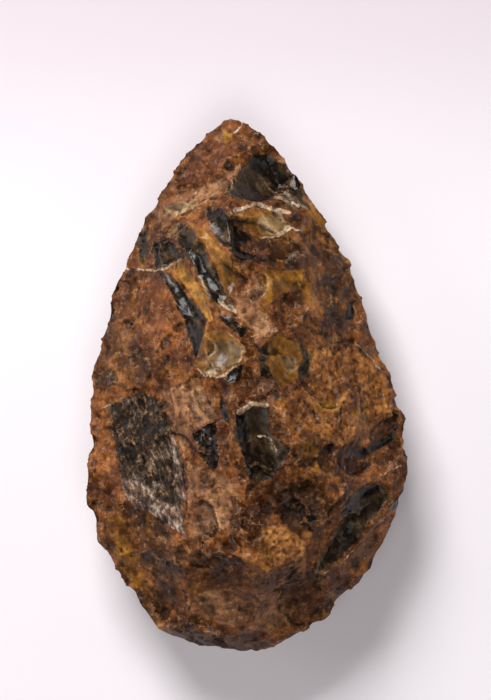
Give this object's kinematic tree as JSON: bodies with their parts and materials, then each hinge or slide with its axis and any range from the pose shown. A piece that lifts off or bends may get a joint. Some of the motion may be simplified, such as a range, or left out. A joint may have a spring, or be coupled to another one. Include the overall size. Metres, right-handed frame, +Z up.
{
  "type": "stone hand axe",
  "caption": "Pear-shaped knapped flint hand axe with a flaked front and back, a sharp tip and edges and a blunt butt, lying on its back face.",
  "frame": {"origin": "middle of the bounding box in plan, at the level of the small flat spot that the axe lies on", "axes": "+Y along the axe to its tip, +Z up, away from the surface that it lies on, through its front face, +X to the right of someone who looks down on the front face with the tip away from them"},
  "size_m": [0.0844, 0.1396, 0.0445],
  "materials": {
    "flint": "satin"
  },
  "bodies": {
    "root": {"hand_axe": "flint"}
  },
  "joints": []
}
